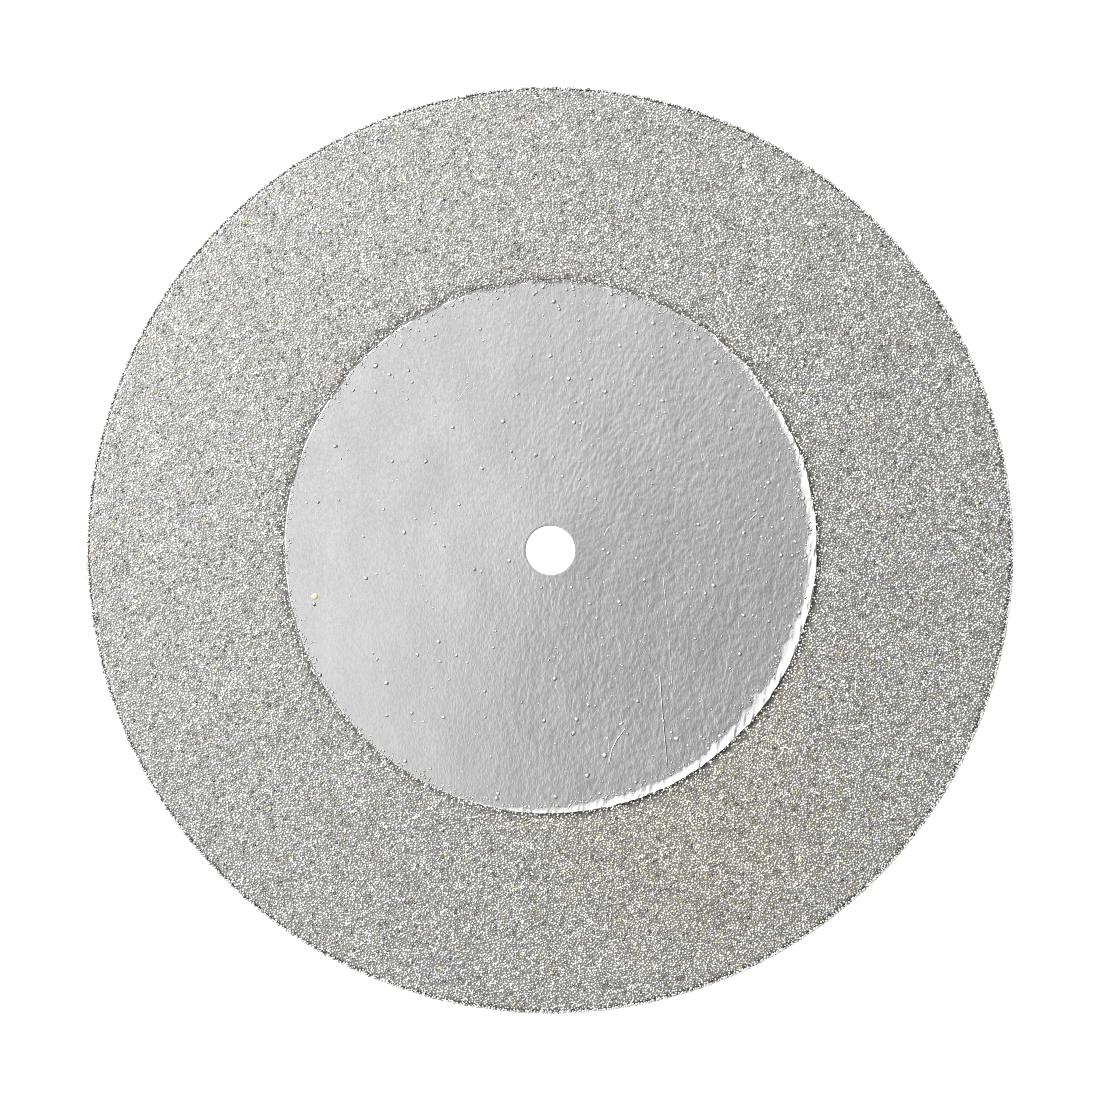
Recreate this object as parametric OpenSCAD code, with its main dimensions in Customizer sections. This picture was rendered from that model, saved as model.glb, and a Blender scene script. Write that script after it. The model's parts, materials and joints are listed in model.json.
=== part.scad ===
// Small electroplated diamond grinding wheel for a mandrel.
// The wheel lies flat: +Z is the bore axis, and the origin is the bore centre on the mid-plane.
// All sizes are in millimetres.

/* [Wheel] */
// Diameter over the grit
wheel_d = 60; // [50:1:100]
// Thickness of the bare steel blank
core_t = 0.6; // [0.4:0.05:1.2]
// Diameter of the mandrel bore
bore_d = 3.15; // [2:0.05:10]
// Bevel round the bore's two mouths
bore_bevel = 0.05; // [0.02:0.01:0.1]
// Diameter of the plain clamping centre
centre_d = 33.2; // [20:0.1:40]

/* [Nickel] */
// Thickness of the nickel flash on the plain centre
flash_t = 0.02; // [0.01:0.005:0.05]
// Thickness of the nickel bond that holds the grit
bond_t = 0.1; // [0.06:0.01:0.15]
// Width of the smooth bead left along the plating mask
bead_w = 0.65; // [0.4:0.05:1.2]
// Height of the bead above the steel blank
bead_h = 0.16; // [0.12:0.01:0.2]

/* [Diamond] */
// Height of the grit above the nickel bond
grit_t = 0.08; // [0.05:0.01:0.12]
// Width across the corners of the largest oversized crystal
coarse_w = 0.44; // [0.3:0.02:0.6]

/* [Hidden] */

$fn = 96;

wheel_r = wheel_d / 2;
bore_r = bore_d / 2;
centre_r = centre_d / 2;
core_r = wheel_r - bond_t - grit_t;
bond_r = wheel_r - grit_t;
coat_r = centre_r + bead_w;
core_z = core_t / 2;
flash_z = core_z + flash_t;
bond_z = core_z + bond_t;
grit_z = bond_z + grit_t;

// Oversized crystals on one face, placed by hand: how far across the coat from its inner edge,
// the angle in degrees from +X, and the width against the largest one's.
coarse_places = [
    [0.929, 132.8, 1], [0.838, 126.5, 0.75], [0.628, 125.3, 0.7], [0.667, -51, 0.9],
    [0.381, 22.4, 0.75], [0.386, -44.8, 0.85], [0.438, -58.3, 0.75], [0.419, -73, 0.8],
    [0.519, -70.1, 0.7], [0.362, -96.3, 0.75], [0.428, -11.7, 0.7], [0.724, -76.9, 0.7],
    [0.347, -32.7, 0.8], [0.767, -33.8, 0.7], [0.281, -120.6, 0.7], [0.843, -104.7, 0.7]
];
// Nickel left between a crystal's foot and the steel.
coarse_seat = 0.02;
// Turn from one crystal to the next about its own middle.
coarse_turn = 41;

steel = "gainsboro";
nickel = "silver";
bright_nickel = "white";
coated_grit = "darkgray";
bare_diamond = "khaki";

// A flat ring between two radii and two heights.
module ring(inner_r, outer_r, low_z, high_z) {
    translate([0, 0, low_z])
        difference() {
            cylinder(r = outer_r, h = high_z - low_z);
            translate([0, 0, -1])
                cylinder(r = inner_r, h = high_z - low_z + 2);
        }
}

// Turns a front piece over to make the one on the back.
module back() {
    rotate([180, 0, 0])
        children();
}

// Blanked steel disc: bored right through and plated all over.
module core_disc() {
    color(steel)
        ring(bore_r, core_r, -core_z, core_z);
}

// Thin nickel flash on one plain face, bevelled at the bore's mouth.
module centre_plating() {
    color(nickel)
        rotate_extrude()
            polygon([
                [bore_r, core_z],
                [centre_r, core_z],
                [centre_r, flash_z],
                [bore_r + bore_bevel, flash_z],
                [bore_r, flash_z - flash_t / 2]
            ]);
}

module centre_plating_front() centre_plating();

module centre_plating_back() back() centre_plating();

// Nickel bond on one face, with a seat for each oversized crystal.
module bond_face() {
    color(nickel)
        difference() {
            ring(coat_r, core_r, core_z, bond_z);
            coarse_crystals();
        }
}

module bond_front() bond_face();

module bond_back() back() bond_face();

// Nickel bond round the rim, as tall as the bond on the two faces.
module bond_rim() {
    color(nickel)
        ring(core_r, bond_r, -bond_z, bond_z);
}

// Smooth bead of grit-free nickel where the plating met its mask.
// Its back is upright against the coat, and its front slopes down to the plain centre.
module mask_bead() {
    color(bright_nickel)
        rotate_extrude()
            polygon([
                [centre_r, core_z],
                [coat_r, core_z],
                [coat_r, core_z + bead_h * 0.9],
                [centre_r + bead_w * 0.8, core_z + bead_h],
                [centre_r + bead_w * 0.6, core_z + bead_h * 0.96],
                [centre_r + bead_w * 0.35, core_z + bead_h * 0.78],
                [centre_r + bead_w * 0.12, core_z + bead_h * 0.45],
                [centre_r, core_z + flash_t]
            ]);
}

module mask_bead_front() mask_bead();

module mask_bead_back() back() mask_bead();

// A point on the rounded outer corner, above the nickel bond's own corner.
function corner_point(angle) = [bond_r + grit_t * cos(angle), bond_z + grit_t * sin(angle)];

// Layer of nickel-coated crystals on one face: an annulus with a rounded outer corner.
module grit_face() {
    color(coated_grit)
        difference() {
            rotate_extrude()
                polygon(concat(
                    [[coat_r, bond_z], [coat_r, grit_z]],
                    [for (angle = [90:-15:0]) corner_point(angle)]
                ));
            coarse_crystals();
        }
}

module grit_front() grit_face();

module grit_back() back() grit_face();

// Layer of nickel-coated crystals round the rim.
module grit_rim() {
    color(coated_grit)
        ring(bond_r, wheel_r, -bond_z, bond_z);
}

// Oversized crystals of one face, each a six-sided block turned its own way.
// Their tops are level with the grit's top, and their feet are in the bond.
module coarse_crystals() {
    foot_z = core_z + coarse_seat;
    for (i = [0:len(coarse_places) - 1]) {
        place = coarse_places[i];
        rotate([0, 0, place[1]])
            translate([coat_r + (bond_r - coat_r) * place[0], 0, foot_z])
                rotate([0, 0, i * coarse_turn])
                    cylinder(d = coarse_w * place[2], h = grit_z - foot_z, $fn = 6);
    }
}

module coarse_crystals_front() {
    color(bare_diamond)
        coarse_crystals();
}

module coarse_crystals_back() {
    color(bare_diamond)
        back()
            coarse_crystals();
}

core_disc();
centre_plating_front();
centre_plating_back();
bond_front();
bond_back();
bond_rim();
mask_bead_front();
mask_bead_back();
grit_front();
grit_back();
grit_rim();
coarse_crystals_front();
coarse_crystals_back();
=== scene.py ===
"""Looks of a small electroplated diamond grinding wheel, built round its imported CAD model.

Shapes are in millimetres in the CAD's own frame, and turn into metres where a mesh is made. The
floor, the lamps and the camera are in metres.
Every shape is made for the front face, and turned over half a turn about the X axis for the back.
"""

import json
import math

import bpy
import numpy as np
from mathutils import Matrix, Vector
from mathutils.kdtree import KDTree


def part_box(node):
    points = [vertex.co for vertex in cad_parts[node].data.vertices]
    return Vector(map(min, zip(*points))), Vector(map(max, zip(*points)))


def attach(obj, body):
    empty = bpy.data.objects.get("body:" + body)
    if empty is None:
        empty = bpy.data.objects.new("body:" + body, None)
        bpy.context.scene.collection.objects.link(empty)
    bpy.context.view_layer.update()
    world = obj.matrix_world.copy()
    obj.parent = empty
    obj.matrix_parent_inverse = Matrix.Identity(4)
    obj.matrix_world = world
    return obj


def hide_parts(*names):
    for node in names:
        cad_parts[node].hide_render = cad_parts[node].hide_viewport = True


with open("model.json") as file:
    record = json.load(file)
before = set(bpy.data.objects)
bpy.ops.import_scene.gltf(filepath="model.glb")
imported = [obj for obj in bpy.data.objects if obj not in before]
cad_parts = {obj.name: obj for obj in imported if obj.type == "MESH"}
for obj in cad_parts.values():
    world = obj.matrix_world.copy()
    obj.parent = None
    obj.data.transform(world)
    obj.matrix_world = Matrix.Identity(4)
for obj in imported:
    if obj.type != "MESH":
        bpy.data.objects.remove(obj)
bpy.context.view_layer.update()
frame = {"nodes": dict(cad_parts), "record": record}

MM = 1000.0  # millimetres in a metre


def far_corner(node):
    """Largest X and Z of a CAD node, in millimetres."""
    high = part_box(node)[1]
    return high.x * MM, high.z * MM


# Sizes of the wheel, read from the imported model.
bore_r = frame["record"]["mounts"][0]["dims"]["r_mm"]
core_r, core_z = far_corner("core_disc")
flash_z = far_corner("centre_plating_front")[1]
coat_r, bead_z = far_corner("mask_bead_front")
bond_r, bond_z = far_corner("bond_rim")
wheel_r, grit_z = far_corner("grit_front")

# The two faces: name, -1 for the one that is turned over, and the seed of its random draws.
FACES = (("front", 1.0, 11), ("back", -1.0, 12))

# The plating mask sat a little off the wheel's centre, towards +Y.
MASK_SHIFT = 0.2
# Width of the smooth bead inside the grit's edge, by angle in degrees from +X towards +Y.
BEAD_WIDTHS = (
    (-180, 0.22), (-135, 0.20), (-105, 0.30), (-90, 0.50), (-75, 0.68), (-60, 0.75), (-45, 0.88),
    (-30, 0.95), (-15, 0.92), (0, 0.72), (15, 0.62), (30, 0.50), (45, 0.42), (60, 0.38), (90, 0.36),
    (135, 0.30), (180, 0.22),
)
# Widths of the bead where it is still flat, and where it stands up in full.
FLAT_BEAD_W = 0.35
FULL_BEAD_W = 0.70
# How far the bond and the grit reach in over the bead's back.
EDGE_OVERLAP = 0.03

# Oversized crystals, as in the CAD source: how far across the coat from its inner edge, the angle
# in degrees from +X, and the width against the largest one's.
COARSE_PLACES = (
    (0.929, 132.8, 1), (0.838, 126.5, 0.75), (0.628, 125.3, 0.7), (0.667, -51, 0.9),
    (0.381, 22.4, 0.75), (0.386, -44.8, 0.85), (0.438, -58.3, 0.75), (0.419, -73, 0.8),
    (0.519, -70.1, 0.7), (0.362, -96.3, 0.75), (0.428, -11.7, 0.7), (0.724, -76.9, 0.7),
    (0.347, -32.7, 0.8), (0.767, -33.8, 0.7), (0.281, -120.6, 0.7), (0.843, -104.7, 0.7),
)
COARSE_W = 0.44

# A stray bare grain that was plated onto the plain centre.
STRAY_PLACE = (-15.2, -3.0)
STRAY_W = 0.46

# Scratches on the plain centre: each is a run of places, and the width of its raised edge.
SCRATCHES = (
    (((7.3, -1.6), (7.7, -5.5), (7.9, -9.0)), 0.08),
    (((7.1, -8.1), (7.3, -11.0), (7.6, -14.1)), 0.14),
    (((4.9, -11.5), (4.3, -12.3), (4.0, -12.9), (3.8, -13.9)), 0.11),
    (((5.8, -5.8), (6.1, -6.4), (6.5, -7.1)), 0.10),
    (((4.5, 1.6), (3.8, 1.5), (3.5, 1.0), (3.8, 0.4), (4.4, 0.3)), 0.05),
    (((-9.7, 13.9), (-8.6, 11.8), (-7.3, 9.4)), 0.05),
    (((-6.0, 9.6), (-5.3, 10.6)), 0.06),
    (((9.6, 7.4), (9.9, 5.6)), 0.06),
    (((13.4, 2.4), (12.9, 1.9), (12.6, 1.9)), 0.07),
    (((1.9, 12.4), (2.6, 10.0)), 0.05),
)


# ---------------------------------------------------------------- random surfaces

TABLE = 509  # side of the square table of random heights


def lumps(x, y, size_x, size_y, seed):
    """Smooth random heights from -1 to 1 over a plane, in lumps of about the given size."""
    table = np.random.default_rng(seed).uniform(-1, 1, (TABLE, TABLE))
    u, v = x / size_x, y / size_y
    i, j = np.floor(u).astype(int), np.floor(v).astype(int)
    fu, fv = u - i, v - j
    su, sv = fu * fu * (3 - 2 * fu), fv * fv * (3 - 2 * fv)
    i, j = i % TABLE, j % TABLE
    i2, j2 = (i + 1) % TABLE, (j + 1) % TABLE
    low = table[i, j] * (1 - su) + table[i2, j] * su
    high = table[i, j2] * (1 - su) + table[i2, j2] * su
    return low * (1 - sv) + high * sv


def patch(x, y, middle, spread):
    """A soft round patch, 1 in its middle. Its spread is in square millimetres."""
    return np.exp(-((x - middle[0]) ** 2 + (y - middle[1]) ** 2) / spread)


# How far the coat's edge wanders in lumps: everywhere, and more at the upper left.
EDGE_WANDER = 0.05
UPPER_LEFT_WANDER = 0.13
UPPER_LEFT_TURN = 0.5  # how far past +Y it is largest, in radians


def coat_edge(turn, seed):
    """Radius where the grit begins, along the line that the plating mask left."""
    x, y = coat_r * np.cos(turn), coat_r * np.sin(turn)
    ragged = UPPER_LEFT_WANDER * np.clip(0.4 + 0.6 * np.sin(turn - UPPER_LEFT_TURN), 0.15, 1)
    small = EDGE_WANDER * lumps(x, y, 0.5, 0.7, seed)
    large = ragged * lumps(x, y, 0.8, 1.0, seed + 9)
    return coat_r + MASK_SHIFT * np.sin(turn) + small + large


def bead_width(turn):
    """Width of the smooth bead, before it is made uneven."""
    degrees, widths = zip(*BEAD_WIDTHS)
    return np.interp(np.degrees(turn), degrees, widths, period=360)


def bead_foot(turn, seed):
    """Radius where the smooth bead inside the grit's edge runs out into the plain centre."""
    x, y = coat_r * np.cos(turn), coat_r * np.sin(turn)
    uneven = 1 + 0.25 * lumps(x, y, 0.7, 1.4, seed + 1) + 0.25 * lumps(x, y, 0.3, 0.6, seed + 2)
    return coat_edge(turn, seed) - uneven * bead_width(turn)


def bead_share(turn):
    """How fully the bead stands up, from 0 where it is narrow to 1 where it is wide."""
    return np.clip((bead_width(turn) - FLAT_BEAD_W) / (FULL_BEAD_W - FLAT_BEAD_W), 0, 1)


# ---------------------------------------------------------------- meshes

def convex_solid(corners, directions):
    """Corners and faces of a solid: a face is the ring of corners furthest along a direction."""
    faces = {}
    for direction in np.array(directions, float):
        reach = corners @ direction
        face = np.nonzero(reach > reach.max() - 1e-6)[0]
        side = np.cross(direction, (0.3, 0.5, 0.8))
        up = np.cross(direction, side)
        order = np.argsort(np.arctan2(corners[face] @ up, corners[face] @ side))
        faces.setdefault(len(face), []).append(face[order])
    return corners, [np.array(rows) for rows in faces.values()]


def unit(points):
    """Points moved onto the unit sphere."""
    points = np.array(points, float)
    return points / np.linalg.norm(points, axis=1)[:, None]


GRID = [(x, y, z) for x in (-1, 0, 1) for y in (-1, 0, 1) for z in (-1, 0, 1)]
AXES = [p for p in GRID if sum(map(abs, p)) == 1]
EDGES = [p for p in GRID if sum(map(abs, p)) == 2]
OCTANTS = [p for p in GRID if sum(map(abs, p)) == 3]
WIDE_GRID = [(x, y, z) for x in range(-2, 3) for y in range(-2, 3) for z in range(-2, 3)]
PEBBLE = [p for p in WIDE_GRID if sorted(map(abs, p)) == [0, 1, 2]]

block = convex_solid(unit(OCTANTS), AXES)
octahedron = convex_solid(unit(AXES), OCTANTS)
cuboctahedron = convex_solid(unit(EDGES), AXES + OCTANTS)
pebble = convex_solid(unit(PEBBLE), AXES + OCTANTS)


def join(shapes):
    """One shape from several. A shape is its points, its faces by corner count, and its tones."""
    points, faces, tones, start = [], [], [], 0
    for own_points, own_faces, own_tones in shapes:
        points.append(own_points)
        faces.extend(rows + start for rows in own_faces)
        tones.append(own_tones)
        start += len(own_points)
    return np.concatenate(points), faces, np.concatenate(tones)


def random_turns(count, rng):
    """Rotation matrices that point every way alike."""
    w, x, y, z = unit(rng.normal(size=(count, 4))).T
    return np.stack([
        1 - 2 * (y * y + z * z), 2 * (x * y - w * z), 2 * (x * z + w * y),
        2 * (x * y + w * z), 1 - 2 * (x * x + z * z), 2 * (y * z - w * x),
        2 * (x * z - w * y), 2 * (y * z + w * x), 1 - 2 * (x * x + y * y),
    ], axis=1).reshape(count, 3, 3)


def grains(places, radii, rng, solids, uneven=0.12, stretch=0.22):
    """A closed grain at each place, each with its own turn, stretch, uneven corners and tone."""
    count = len(places)
    kind = rng.integers(0, len(solids), count)
    turns = random_turns(count, rng)
    stretches = rng.uniform(1 - stretch, 1 + stretch, (count, 3))
    tones = rng.uniform(0, 1, count)
    shapes = []
    for number, (corners, faces) in enumerate(solids):
        own = np.nonzero(kind == number)[0]
        points = corners[None] * stretches[own][:, None]
        points = points + rng.normal(0, uneven, points.shape)
        points = np.einsum("nij,nvj->nvi", turns[own], points) * radii[own][:, None, None]
        points = points + places[own][:, None]
        starts = np.arange(len(own))[:, None, None] * len(corners)
        rows = [(face[None] + starts).reshape(-1, face.shape[1]) for face in faces]
        shapes.append((points.reshape(-1, 3), rows, np.repeat(tones[own], len(corners))))
    return join(shapes)


PLAIN_TONE = 0.5


def ring(radius, height):
    """A closed ring from a grid: rows run round its section, columns run round the wheel."""
    rows, columns = radius.shape
    turn = np.arange(columns) * 2 * np.pi / columns
    points = np.stack([radius * np.cos(turn), radius * np.sin(turn), height], axis=2).reshape(-1, 3)
    i, j = np.meshgrid(np.arange(rows), np.arange(columns), indexing="ij")
    i2, j2 = (i + 1) % rows, (j + 1) % columns
    faces = np.stack([i * columns + j, i * columns + j2, i2 * columns + j2, i2 * columns + j], axis=2)
    return points, [faces.reshape(-1, 4)], np.full(len(points), PLAIN_TONE)


def tarnish(x, y):
    """Share of the faint brown tarnish: along the mask, and in a patch at the lower right."""
    radius = np.hypot(x, y)
    past_mask, width = 0.7, 0.8  # middle and half width of the band along the mask
    mask = np.exp(-((radius - coat_r - past_mask) / width) ** 2)
    mask = mask * (0.6 + 0.4 * lumps(x, y, 1.0, 1.0, 7))
    return np.clip(0.15 * mask + 0.30 * patch(x, y, (9, -18), 130), 0, 1)


def add_piece(name, shape, material, replaced=(), over=1.0, smooth=True):
    """A mesh piece that rides on the wheel. over is -1 for a piece turned over to the back."""
    points, faces, tones = shape
    places = (points * (1, over, over) / MM).astype(np.float32)
    sizes = np.concatenate([np.full(len(rows), rows.shape[1]) for rows in faces])
    corners = np.concatenate([rows.ravel() for rows in faces]).astype(np.int32)
    brown = tarnish(points[:, 0], points[:, 1])
    mesh = bpy.data.meshes.new(name)
    mesh.vertices.add(len(places))
    mesh.vertices.foreach_set("co", places.ravel())
    mesh.loops.add(len(corners))
    mesh.loops.foreach_set("vertex_index", corners)
    mesh.polygons.add(len(sizes))
    mesh.polygons.foreach_set("loop_start", (np.cumsum(sizes) - sizes).astype(np.int32))
    mesh.polygons.foreach_set("use_smooth", np.full(len(sizes), smooth))
    mesh.update(calc_edges=True)
    for label, values in (("tone", tones), ("tarnish", brown)):
        carried = mesh.attributes.new(label, "FLOAT", "POINT")
        carried.data.foreach_set("value", values.astype(np.float32))
    mesh.materials.append(material)
    piece = bpy.data.objects.new(name, mesh)
    bpy.context.scene.collection.objects.link(piece)
    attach(piece, "root")
    if replaced:
        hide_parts(*replaced)


# ---------------------------------------------------------------- materials

def new_material(name):
    """A material, its node tree and its shader."""
    material = bpy.data.materials.new(name)
    material.use_nodes = True
    return material, material.node_tree, material.node_tree.nodes["Principled BSDF"]


def new_metal(name):
    """A material, its node tree and its shader, which is all metal."""
    material, tree, shader = new_material(name)
    shader.inputs["Metallic"].default_value = 1.0
    return material, tree, shader


def feed(tree, socket, value):
    """Sets a socket: a link from another socket, or a constant."""
    if isinstance(value, bpy.types.NodeSocket):
        tree.links.new(value, socket)
    else:
        socket.default_value = value


def add_node(tree, kind, **inputs):
    """A node with the inputs that are named set."""
    node = tree.nodes.new(kind)
    for name, value in inputs.items():
        feed(tree, node.inputs[name], value)
    return node


def maths(tree, operation, first, second):
    """The value of a sum, product or the like of two numbers."""
    node = tree.nodes.new("ShaderNodeMath")
    node.operation = operation
    feed(tree, node.inputs[0], first)
    feed(tree, node.inputs[1], second)
    return node.outputs[0]


def vector_maths(tree, operation, first, second=(0.0, 0.0, 0.0)):
    """The outputs, Vector and Value, of an operation on two vectors."""
    node = tree.nodes.new("ShaderNodeVectorMath")
    node.operation = operation
    feed(tree, node.inputs[0], first)
    feed(tree, node.inputs[1], second)
    return node.outputs


def attribute(tree, name):
    """A value that the meshes carry on their points."""
    node = tree.nodes.new("ShaderNodeAttribute")
    node.attribute_name = name
    return node.outputs["Fac"]


def blend(tree, first, second, share):
    """A share of the first value added to the rest of the second."""
    part = maths(tree, "MULTIPLY", first, share)
    rest = maths(tree, "MULTIPLY", second, 1 - share)
    return maths(tree, "ADD", part, rest)


def object_place(tree, size_x, size_y, size_z):
    """The piece's own coordinates, in units of the given sizes in millimetres."""
    place = tree.nodes.new("ShaderNodeTexCoord").outputs["Object"]
    return vector_maths(tree, "MULTIPLY", place, (MM / size_x, MM / size_y, MM / size_z))["Vector"]


def noise(tree, sizes, detail=2.0):
    """Noise from 0 to 1, in lumps of the given sizes along X, Y and Z in millimetres."""
    place = object_place(tree, *sizes)
    return add_node(tree, "ShaderNodeTexNoise", Vector=place, Scale=1.0, Detail=detail).outputs["Fac"]


def ramp(tree, value, *stops):
    """Colours over a value: each stop is a position and a grey or a colour."""
    node = add_node(tree, "ShaderNodeValToRGB", Fac=value)
    elements = node.color_ramp.elements
    while len(elements) < len(stops):
        elements.new(0.5)
    for element, (position, colour) in zip(elements, stops):
        element.position = position
        element.color = (*colour, 1.0)
    return node.outputs["Color"]


def span(tree, value, low, high, start=0.0, end=1.0):
    """A value between start and end spread from low to high, and held there beyond."""
    limits = {"From Min": start, "From Max": end, "To Min": low, "To Max": high}
    return add_node(tree, "ShaderNodeMapRange", Value=value, **limits).outputs[0]


def bump(tree, shader, height, distance, strength=1.0):
    """Tilts a shader's normal by a height. The distance is the height of 1, in metres."""
    node = add_node(tree, "ShaderNodeBump", Height=height, Strength=strength, Distance=distance)
    tree.links.new(node.outputs[0], shader.inputs["Normal"])


def tarnished(tree, colour):
    """A colour turned a little brown where the pieces say so."""
    mix = tree.nodes.new("ShaderNodeMix")
    mix.data_type = "RGBA"
    mix.blend_type = "MULTIPLY"
    # A mix node has sockets for numbers, vectors and colours: these are the ones for colours.
    factor, first, second, result = mix.inputs[0], mix.inputs[6], mix.inputs[7], mix.outputs[2]
    tree.links.new(attribute(tree, "tarnish"), factor)
    tree.links.new(colour, first)
    second.default_value = (1.0, 0.93, 0.80, 1.0)
    return result


def coated_grit():
    """Nickel over diamond: each grain has its own grey, and the gloss varies over it."""
    material, tree, shader = new_metal("coated_grit")
    mottle = noise(tree, (0.09, 0.09, 0.09))
    shade = blend(tree, attribute(tree, "tone"), mottle, 0.6)
    colour = ramp(
        tree, shade,
        (0.16, (0.05, 0.05, 0.05)),
        (0.25, (0.48, 0.48, 0.47)),
        (0.48, (0.90, 0.90, 0.89)),
        (0.90, (0.98, 0.98, 0.97)),
    )
    tree.links.new(tarnished(tree, colour), shader.inputs["Base Color"])
    tree.links.new(span(tree, mottle, 0.46, 0.66), shader.inputs["Roughness"])
    return material


def nickel_bond():
    """Nickel down between the grains, coloured darker than the grains' nickel as painted shade in the gaps
    between them.
    """
    material, tree, shader = new_metal("nickel_bond")
    mottle = noise(tree, (0.09, 0.09, 0.09))
    shade = blend(tree, attribute(tree, "tone"), mottle, 0.5)
    # Painted shade: the bond's greys are kept dark, down to black where its tone is low, to stand in for
    # the shade between the grains and along the bead.
    colour = ramp(
        tree, shade,
        (0.35, (0.02, 0.02, 0.02)),
        (0.50, (0.16, 0.15, 0.14)),
        (0.80, (0.50, 0.49, 0.48)),
    )
    tree.links.new(tarnished(tree, colour), shader.inputs["Base Color"])
    tree.links.new(span(tree, mottle, 0.35, 0.60), shader.inputs["Roughness"])
    return material


def bright_nickel():
    """Smooth nickel of the bead, the nodules and the scratches' edges."""
    material, tree, shader = new_metal("bright_nickel")
    mottle = noise(tree, (0.25, 0.45, 0.25), 3.0)
    shade = blend(tree, attribute(tree, "tone"), mottle, 0.6)
    colour = ramp(
        tree, shade,
        (0.35, (0.46, 0.46, 0.45)),
        (0.60, (0.62, 0.62, 0.61)),
        (0.90, (0.92, 0.92, 0.91)),
    )
    tree.links.new(colour, shader.inputs["Base Color"])
    tree.links.new(span(tree, mottle, 0.16, 0.34), shader.inputs["Roughness"])
    bump(tree, shader, noise(tree, (0.08, 0.14, 0.08)), 0.01 / MM, 0.5)
    return material


# Slope of the plain centre, which is a little dished.
DISHING = math.tan(math.radians(1.4))
# Depth of the fine rolling marks at the left and at the right, and how far out that is, in metres.
SHALLOW_MARK = 0.0015 / MM
DEEP_MARK = 0.012 / MM
MARKS_REACH = 12.0 / MM


def nickel_flash():
    """Satin nickel over rolled steel: short marks along Y, and a slight dishing of the blank."""
    material, tree, shader = new_metal("nickel_flash")
    clouds = noise(tree, (3.0, 5.0, 3.0), 4.0)
    marks = noise(tree, (0.12, 0.24, 0.12), 1.0)
    shade = blend(tree, clouds, marks, 0.5)
    colour = ramp(tree, shade, (0.3, (0.55, 0.55, 0.55)), (0.7, (0.65, 0.65, 0.65)))
    tree.links.new(colour, shader.inputs["Base Color"])
    tree.links.new(span(tree, shade, 0.14, 0.26), shader.inputs["Roughness"])
    place = tree.nodes.new("ShaderNodeTexCoord").outputs["Object"]
    across = add_node(tree, "ShaderNodeSeparateXYZ", Vector=place).outputs["X"]
    depth = span(tree, across, SHALLOW_MARK, DEEP_MARK, -MARKS_REACH, MARKS_REACH)
    flat = vector_maths(tree, "MULTIPLY", place, (1.0, 1.0, 0.0))["Vector"]
    radius = vector_maths(tree, "LENGTH", flat)["Value"]
    dish = maths(tree, "MULTIPLY", radius, -DISHING)
    relief = maths(tree, "MULTIPLY", marks, depth)
    bump(tree, shader, maths(tree, "ADD", dish, relief), 1.0)
    return material


def bare_diamond():
    """Glossy yellow-green crystal that the nickel left bare."""
    material, tree, shader = new_material("bare_diamond")
    mottle = noise(tree, (0.12, 0.12, 0.12))
    shade = blend(tree, attribute(tree, "tone"), mottle, 0.7)
    colour = ramp(
        tree, shade,
        (0.1, (0.30, 0.25, 0.11)),
        (0.5, (0.52, 0.45, 0.22)),
        (0.9, (0.75, 0.68, 0.38)),
    )
    tree.links.new(colour, shader.inputs["Base Color"])
    tree.links.new(span(tree, mottle, 0.08, 0.30), shader.inputs["Roughness"])
    shader.inputs["IOR"].default_value = 2.3
    return material


def steel():
    """Blanked steel of the core, with the punch's marks along the bore."""
    material, tree, shader = new_metal("steel")
    marks = noise(tree, (0.06, 0.06, 0.9), 4.0)
    colour = ramp(tree, marks, (0.3, (0.50, 0.50, 0.49)), (0.7, (0.70, 0.70, 0.69)))
    tree.links.new(colour, shader.inputs["Base Color"])
    tree.links.new(span(tree, marks, 0.28, 0.50), shader.inputs["Roughness"])
    bump(tree, shader, marks, 0.01 / MM, 0.4)
    return material


# ---------------------------------------------------------------- pieces

# Direction of the steel's rolling marks, from +X.
MARKS_ANGLE = math.radians(80.0)
SCRATCH_TURNS = {"front": 0.0, "back": 2.2}  # how far the scratches are turned about the bore
THINNEST = 0.014  # how far a rolling mark may dip below the plating's own height
MOUTH_W = 0.05  # width of the rounding at the bore's mouth


def along_marks(x, y):
    """Places measured along the steel's rolling marks and across them."""
    along = x * math.cos(MARKS_ANGLE) + y * math.sin(MARKS_ANGLE)
    across = x * math.sin(MARKS_ANGLE) - y * math.cos(MARKS_ANGLE)
    return along, across


def plain_centre(seed):
    """The plated plain centre with its rolling marks, and the rounded mouth of its bore."""
    columns, rows = 900, 150
    turn = np.arange(columns) * 2 * np.pi / columns
    outer = coat_r + MASK_SHIFT * np.sin(turn) - 0.06  # it ends under the bead
    mouth = (
        (bore_r + 0.035, flash_z - 0.002),
        (bore_r + 0.012, flash_z - 0.006),
        (bore_r, flash_z - 0.012),
        (bore_r, core_z),
    )
    share = np.linspace(1, 0, rows)[:, None]
    flat = outer * share + (bore_r + MOUTH_W) * (1 - share)
    radius = np.vstack([outer, flat] + [np.full(columns, r) for r, z in mouth])
    height = np.vstack([np.full(columns, core_z), np.full((rows, columns), flash_z)]
                       + [np.full(columns, z) for r, z in mouth])
    x, y = radius * np.cos(turn), radius * np.sin(turn)
    along, across = along_marks(x, y)
    fine = 0.0034 * lumps(across, along, 0.15, 0.27, seed)
    coarse = 0.0019 * lumps(across, along, 0.34, 0.60, seed + 1)
    slow = 0.0020 * lumps(x, y, 1.6, 2.6, seed + 2)
    to_the_right = 0.12 + 1.9 / (1 + np.exp((1 - x) / 3.5))
    wave = (fine + coarse) * to_the_right + slow
    on_top = (height > flash_z - 1e-6) & (radius > bore_r + 2 * MOUTH_W)
    return ring(radius, height + np.maximum(wave, -THINNEST) * on_top)


def flattened(points, share):
    """Points on the plain centre, with their height over it cut to a share."""
    points[:, 2] = flash_z + (points[:, 2] - flash_z) * share
    return points


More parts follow.
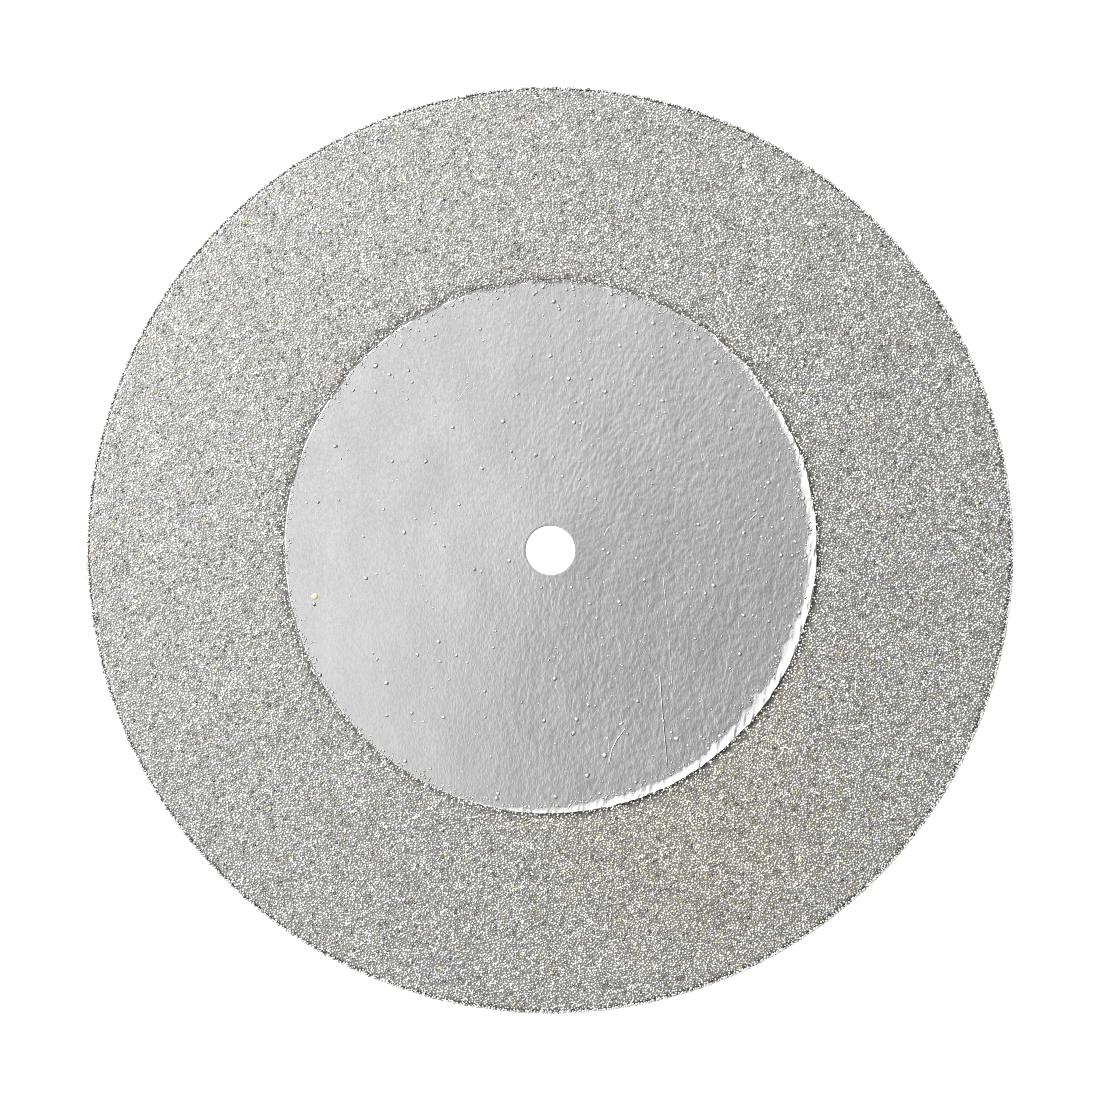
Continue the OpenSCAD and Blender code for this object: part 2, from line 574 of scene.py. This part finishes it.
def centre_nodules(seed):
    """Small plated pimples on the plain centre: a few all over, and many small ones near the mask."""
    rng = np.random.default_rng(seed)
    count = 5400
    nearest, furthest = 2.4, coat_r - 0.1
    radius = np.sqrt(rng.uniform(nearest ** 2, furthest ** 2, count))
    turn = rng.uniform(-np.pi, np.pi, count)
    x, y = radius * np.cos(turn), radius * np.sin(turn)
    near_mask = np.exp((radius - coat_r) / 0.8) * np.clip(0.45 + np.sin(turn + 0.5), 0.08, 1)
    chance = 0.065 + 0.035 * (x > 0) + 0.75 * near_mask
    keep = rng.uniform(0, 1, count) < chance
    radii = 0.045 + 0.115 * rng.uniform(0, 1, count) ** 2
    places = np.stack([x, y, np.full(count, flash_z)], axis=1)
    points, faces, tones = grains(places[keep], radii[keep], rng, [pebble], uneven=0.05, stretch=0.3)
    return flattened(points, 0.5), faces, 0.6 + 0.4 * tones


RIDGE_FOOT = 0.004  # how far a scratch's raised edge reaches down into the plating
RIDGE_HEIGHT = 0.4  # height of the raised edge, as a share of its width
RIDGE_END = 0.2  # width of its two ends, as a share of its width


def ridge(path, width):
    """A thin closed ridge along a run of places, with a three-sided section and narrow ends."""
    path = np.array(path, float)
    steps = np.gradient(path, axis=0)
    side = np.stack([-steps[:, 1], steps[:, 0]], axis=1)
    side *= width / 2 / np.linalg.norm(side, axis=1)[:, None]
    side[[0, -1]] *= RIDGE_END
    low = np.full((len(path), 1), flash_z - RIDGE_FOOT)
    high = np.full((len(path), 1), flash_z + RIDGE_HEIGHT * width)
    sections = [np.hstack([path + side, low]), np.hstack([path, high]), np.hstack([path - side, low])]
    points = np.stack(sections, axis=1).reshape(-1, 3)
    start = 3 * np.arange(len(path) - 1)[:, None]
    sides = [np.hstack([start + i, start + j, start + j + 3, start + i + 3])
             for i, j in ((0, 1), (1, 2), (2, 0))]
    ends = np.array([[0, 2, 1], [len(points) - 3, len(points) - 2, len(points) - 1]])
    return points, [np.concatenate(sides), ends], np.full(len(points), PLAIN_TONE)


def scratches(turn):
    """The scratches' raised edges, turned about the bore by an angle."""
    c, s = math.cos(turn), math.sin(turn)
    shapes = []
    for path, width in SCRATCHES:
        run = np.array(path)
        fine = np.linspace(0, len(run) - 1, 6 * len(run))
        x, y = (np.interp(fine, np.arange(len(run)), run[:, axis]) for axis in (0, 1))
        shapes.append(ridge(np.stack([x * c - y * s, x * s + y * c], axis=1), width))
    return join(shapes)


def bead(seed):
    """The bead of smooth nickel: a slow, streaky rise from the plain centre, upright at the grit."""
    columns, rows = 2400, 15
    turn = np.arange(columns) * 2 * np.pi / columns
    outer, inner = coat_edge(turn, seed), bead_foot(turn, seed)
    share = np.linspace(1, 0, rows)[:, None]
    radius = outer * share + inner * (1 - share)
    x, y = radius * np.cos(turn), radius * np.sin(turn)
    along, across = along_marks(x, y)
    streaks = 0.45 * lumps(across, along, 0.16, 0.70, seed + 3)
    pits = 0.15 * lumps(x, y, 0.12, 0.20, seed + 4)
    rise = 0.22 + 0.78 * bead_share(turn)
    foot_z, steepness = flash_z - 0.006, 2.2
    top = foot_z + (bead_z - flash_z) * share ** steepness * rise * (1 + streaks + pits)
    radius = np.concatenate([inner[None], outer[None], radius])
    height = np.concatenate([np.full((2, columns), core_z), np.minimum(top, bead_z)])
    return ring(radius, height)


def bead_nodules(seed):
    """Rounded nickel nodules along the bead and its ragged foot."""
    rng = np.random.default_rng(seed + 20)
    count = 1300
    turn = rng.uniform(-np.pi, np.pi, count)
    outer = coat_edge(turn, seed)
    radius = np.where(rng.uniform(0, 1, count) < 0.5, bead_foot(turn, seed), outer - 0.05)
    radius = np.minimum(radius + rng.normal(0, 0.12, count), outer)
    radii = rng.uniform(0.035, 0.085, count)
    height = np.full(count, flash_z + 0.01)
    places = np.stack([radius * np.cos(turn), radius * np.sin(turn), height], axis=1)
    points, faces, tones = grains(places, radii, rng, [pebble], uneven=0.06, stretch=0.3)
    return flattened(points, 0.6), faces, tones


def bond_face(seed):
    """The nickel that holds the grains, uneven between them, and thin along the bead, where its colour is
    darkened as painted shade, most where the bead stands up in full.
    """
    columns, rows = 900, 70
    turn = np.arange(columns) * 2 * np.pi / columns
    inner = coat_edge(turn, seed) - EDGE_OVERLAP
    share = np.linspace(1, 0, rows)[:, None] ** 1.5
    radius = core_r * share + inner * (1 - share)
    x, y = radius * np.cos(turn), radius * np.sin(turn)
    near_bead = np.exp(-((radius - inner) / 0.35) ** 2)
    mean_z = bond_z - 0.045
    height = mean_z - 0.010 * near_bead + 0.018 * lumps(x, y, 0.3, 0.3, seed + 5)
    radius = np.concatenate([inner[None], np.full((1, columns), core_r), radius])
    height = np.concatenate([np.full((2, columns), core_z - 0.01), height])
    points, faces, tones = ring(radius, height)
    # Painted shade and shadow: the bond's tone is lowered near the bead, in the trench at its foot and
    # where the upright bead casts its shadow, more where the bead stands up in full.
    painted_bead_shade = 0.25 + 0.20 * np.tile(bead_share(turn), rows)
    tones[2 * columns:] = 0.7 - near_bead.ravel() * painted_bead_shade
    return points, faces, tones


def bond_rim(seed):
    """The nickel round the rim, uneven between the grains."""
    columns = 1200
    turn = np.arange(columns) * 2 * np.pi / columns
    edge_z = bond_z - 0.02
    section = [(core_r, -edge_z), (bond_r - 0.03, -edge_z)]
    section += [(bond_r - 0.02, z) for z in np.linspace(-0.34, 0.34, 8)]
    section += [(bond_r - 0.03, edge_z), (core_r, edge_z)]
    section = np.array(section)
    radius = np.repeat(section[:, :1], columns, axis=1)
    height = np.repeat(section[:, 1:], columns, axis=1)
    wave = 0.018 * lumps(turn * wheel_r, height, 0.25, 0.2, seed)
    return ring(radius + wave * (radius > core_r), height)


GAP = 0.130  # least distance between two grains' middles on a face
CANDIDATES = 4  # places tried for each square of that side
RIM_PITCH = 0.185  # distance between two grains in a row round the rim
RIM_ROW = 0.18  # distance between two rows


def scattered(inner, outer, gap, rng):
    """Places all over a flat ring, at random but none nearer than the gap to another."""
    count = int(CANDIDATES * math.pi * (outer ** 2 - inner ** 2) / gap ** 2)
    radius = np.sqrt(rng.uniform(inner ** 2, outer ** 2, count))
    turn = rng.uniform(-np.pi, np.pi, count)
    places = np.stack([radius * np.cos(turn), radius * np.sin(turn), np.zeros(count)], axis=1)
    tree = KDTree(count)
    for number, place in enumerate(places.tolist()):
        tree.insert(place, number)
    tree.balance()
    free = [True] * count
    kept = []
    for number, place in enumerate(places.tolist()):
        if free[number]:
            kept.append(number)
            for _, other, _ in tree.find_range(place, gap):
                free[other] = False
    return places[kept, 0], places[kept, 1]


def bare_share(x, y):
    """Share of the grains that the nickel left bare: most at the lower right."""
    return 0.008 + (0.06 * patch(x, y, (13, -17), 160) + 0.05 * patch(x, y, (-13, -13), 30))


def grit_places(seed):
    """Places and sizes of one face's grains, which of them are bare, and the draws that go on."""
    rng = np.random.default_rng(seed)
    x, y = scattered(coat_r - 0.4, wheel_r - 0.09, GAP, rng)
    radius, turn = np.hypot(x, y), np.arctan2(y, x)
    edge = coat_edge(turn, seed)
    keep = radius > edge - EDGE_OVERLAP
    missing = (0.20 + 0.16 * bead_share(turn)) * np.exp(-((radius - edge) / 0.55) ** 2)
    keep &= rng.uniform(0, 1, len(x)) > missing
    x, y = x[keep], y[keep]
    radii = rng.uniform(0.068, 0.108, len(x))
    tops = rng.uniform(grit_z - 0.07, grit_z - 0.002, len(x))
    places = np.stack([x, y, tops - 0.8 * radii], axis=1)
    bare = rng.uniform(0, 1, len(x)) < bare_share(x, y)
    return places, radii, bare, rng


def trimmed(shape):
    """A shape kept inside the wheel's own size."""
    points, faces, tones = shape
    radius = np.hypot(points[:, 0], points[:, 1])
    shrink = np.minimum(1, wheel_r / radius)
    x, y = points[:, 0] * shrink, points[:, 1] * shrink
    return np.stack([x, y, np.clip(points[:, 2], -grit_z, grit_z)], axis=1), faces, tones


def rim_places(seed):
    """Places and sizes of the grains round the rim, in staggered rows, and the draws that go on."""
    rng = np.random.default_rng(seed)
    rows = 5
    columns = int(2 * math.pi * wheel_r / RIM_PITCH)
    row, column = (grid.ravel() for grid in np.meshgrid(np.arange(rows), np.arange(columns), indexing="ij"))
    turn = (column + 0.5 * (row % 2)) * 2 * np.pi / columns
    turn = turn + rng.uniform(-0.4, 0.4, turn.size) * RIM_PITCH / wheel_r
    z = (row - rows // 2) * RIM_ROW + rng.uniform(-0.05, 0.05, turn.size)
    radii = rng.uniform(0.08, 0.125, turn.size)
    radius = wheel_r - rng.uniform(0.0, 0.03, turn.size) - 0.85 * radii
    return np.stack([radius * np.cos(turn), radius * np.sin(turn), z], axis=1), radii, rng


def coarse_crystals(seed):
    """The oversized crystals: irregular, standing no higher than the grit."""
    across, degrees, width = np.array(COARSE_PLACES).T
    radius, turn = coat_r + (bond_r - coat_r) * across, np.radians(degrees)
    radii = COARSE_W / 2 * width
    rng = np.random.default_rng(seed)
    points, faces, tones = grains(np.zeros((len(radii), 3)), radii, rng, [cuboctahedron],
                                  uneven=0.07, stretch=0.1)
    corners = len(points) // len(radii)
    half_height = 0.13
    height = points[:, 2].reshape(-1, corners)
    height *= half_height / np.abs(height).max(axis=1, keepdims=True)
    middle_z = np.full(len(turn), grit_z - 0.002 - half_height)
    middle = np.stack([radius * np.cos(turn), radius * np.sin(turn), middle_z], axis=1)
    return points + np.repeat(middle, corners, axis=0), faces, tones


def stray_grain(seed):
    """One bare grain that was plated onto the plain centre, in the lightest tone."""
    place, radius = np.array([[*STRAY_PLACE, flash_z]]), np.array([STRAY_W / 2])
    rng = np.random.default_rng(seed)
    points, faces, _ = grains(place, radius, rng, [pebble], uneven=0.05, stretch=0.1)
    return flattened(points, 0.6), faces, np.ones(len(points))


RINGS = 8  # pieces that a face's coated grains are shared out into


def add_grit(material, bare_material):
    """Both faces' grains in rings of about the same count, the bare ones, and the rim's."""
    for face, over, seed in FACES:
        places, radii, bare, rng = grit_places(seed)
        distance = np.hypot(places[:, 0], places[:, 1])
        limits = np.quantile(distance, np.linspace(0, 1, RINGS + 1))
        ring_of = np.searchsorted(limits[1:-1], distance, side="right")
        for number in range(RINGS):
            own = (ring_of == number) & ~bare
            shape = trimmed(grains(places[own], radii[own], rng, [cuboctahedron, block]))
            replaced = (f"grit_{face}",) if number == 0 else ()
            add_piece(f"grit_{face}_ring_{number + 1}", shape, material, replaced, over)
        shape = trimmed(grains(places[bare], radii[bare], rng, [cuboctahedron, octahedron]))
        add_piece(f"bare_grit_{face}", shape, bare_material, (), over, False)
        add_piece(f"coarse_{face}", coarse_crystals(seed + 70), bare_material,
                  (f"coarse_crystals_{face}",), over, False)
        add_piece(f"stray_grain_{face}", stray_grain(seed + 80), bare_material, (), over)
    places, radii, rng = rim_places(31)
    shape = trimmed(grains(places, radii, rng, [cuboctahedron, block]))
    add_piece("grit_rim_grains", shape, material, ("grit_rim",))


# ---------------------------------------------------------------- studio

def floor_material():
    """White studio floor that glows a little, so that it comes out white round the wheel."""
    material, tree, shader = new_material("floor")
    clouds = noise(tree, (40.0, 40.0, 40.0))
    colour = ramp(tree, clouds, (0.3, (0.54, 0.54, 0.54)), (0.7, (0.58, 0.58, 0.58)))
    tree.links.new(colour, shader.inputs["Base Color"])
    shader.inputs["Roughness"].default_value = 0.9
    shader.inputs["Specular IOR Level"].default_value = 0.0
    shader.inputs["Emission Color"].default_value = (1.0, 1.0, 1.0, 1.0)
    shader.inputs["Emission Strength"].default_value = 0.80
    return material


def add_floor():
    """A square floor that the wheel lies on."""
    reach = 6.0
    mesh = bpy.data.meshes.new("floor")
    corners = [(-reach, -reach), (reach, -reach), (reach, reach), (-reach, reach)]
    mesh.from_pydata([(x, y, -grit_z / MM) for x, y in corners], [], [(0, 1, 2, 3)])
    mesh.materials.append(floor_material())
    floor = bpy.data.objects.new("floor", mesh)
    bpy.context.scene.collection.objects.link(floor)


def direction_to(azimuth, zenith):
    """Unit vector by its angle from +X round Z, and its angle from +Z, in degrees."""
    a, z = math.radians(azimuth), math.radians(zenith)
    return Vector((math.cos(a) * math.sin(z), math.sin(a) * math.sin(z), math.cos(z)))


def soft_box(name, azimuth, zenith, distance, width, height, radiance):
    """A flat soft lamp that faces the wheel from a direction in degrees."""
    lamp = bpy.data.lights.new(name, "AREA")
    lamp.shape = "RECTANGLE"
    lamp.size = width
    lamp.size_y = height
    lamp.energy = radiance * math.pi * width * height
    holder = bpy.data.objects.new(name, lamp)
    away = direction_to(azimuth, zenith)
    holder.location = away * distance
    holder.rotation_euler = away.to_track_quat("Z", "Y").to_euler()
    holder.visible_camera = False
    bpy.context.scene.collection.objects.link(holder)


def add_world():
    """A bright studio: lightest at the upper left, dimmed overhead to the lower right and low down."""
    world = bpy.data.worlds.new("world")
    world.use_nodes = True
    tree = world.node_tree
    direction = tree.nodes.new("ShaderNodeTexCoord").outputs["Generated"]
    light_side = vector_maths(tree, "DOT_PRODUCT", direction, direction_to(142, 45))["Value"]
    grey = ramp(tree, light_side, (0.0, (0.14,) * 3), (0.5, (0.58,) * 3), (1.0, (1.0,) * 3))
    dark_side = vector_maths(tree, "DOT_PRODUCT", direction, direction_to(-40, 20))["Value"]
    ceiling = span(tree, dark_side, 2.38, 0.56, start=0.72)
    height = add_node(tree, "ShaderNodeSeparateXYZ", Vector=direction).outputs["Z"]
    horizon = span(tree, height, 0.55, 1.0, start=0.40, end=0.62)
    background = tree.nodes["Background"]
    tree.links.new(grey, background.inputs["Color"])
    tree.links.new(maths(tree, "MULTIPLY", ceiling, horizon), background.inputs["Strength"])
    bpy.context.scene.world = world


def add_lights():
    """A key lamp from the upper left, and a weak lamp nearly overhead."""
    soft_box("key", azimuth=145, zenith=42, distance=0.12, width=0.14, height=0.08, radiance=4.6)
    soft_box("overhead", azimuth=215, zenith=15, distance=0.50, width=0.10, height=0.16, radiance=0.55)


def add_camera():
    """A camera with a long lens, straight above the bore."""
    camera = bpy.data.cameras.new("camera")
    camera.sensor_width = 36.0
    camera.lens = 303.6
    camera.clip_start = 0.01
    camera.clip_end = 50.0
    holder = bpy.data.objects.new("camera", camera)
    holder.location = (0.0, 0.0, 0.6)
    bpy.context.scene.collection.objects.link(holder)
    bpy.context.scene.camera = holder


def build():
    """Every piece of the wheel, the front face's first."""
    grit, bond, bright = coated_grit(), nickel_bond(), bright_nickel()
    flash, diamond = nickel_flash(), bare_diamond()
    core = frame["nodes"]["core_disc"].data
    core.materials.clear()
    core.materials.append(steel())
    for face, over, seed in FACES:
        add_piece(f"centre_{face}", plain_centre(seed + 40), flash,
                  (f"centre_plating_{face}",), over)
        add_piece(f"centre_nodules_{face}", centre_nodules(seed + 50), bright, (), over)
        add_piece(f"centre_scratches_{face}", scratches(SCRATCH_TURNS[face]), bright,
                  (), over)
        add_piece(f"bead_{face}", bead(seed), bright, (f"mask_bead_{face}",), over)
        add_piece(f"bead_nodules_{face}", bead_nodules(seed), bright, (), over)
        add_piece(f"bond_{face}_face", bond_face(seed), bond, (f"bond_{face}",), over)
    add_piece("bond_rim_band", bond_rim(61), bond, ("bond_rim",))
    add_grit(grit, diamond)


add_camera()
add_world()
add_lights()
add_floor()
build()
bpy.context.scene.view_settings.view_transform = "Standard"
# A denoiser takes the grit's fine grain for noise and smears it.
bpy.context.scene.cycles.use_denoising = False
bpy.context.scene.cycles.filter_width = 0.9
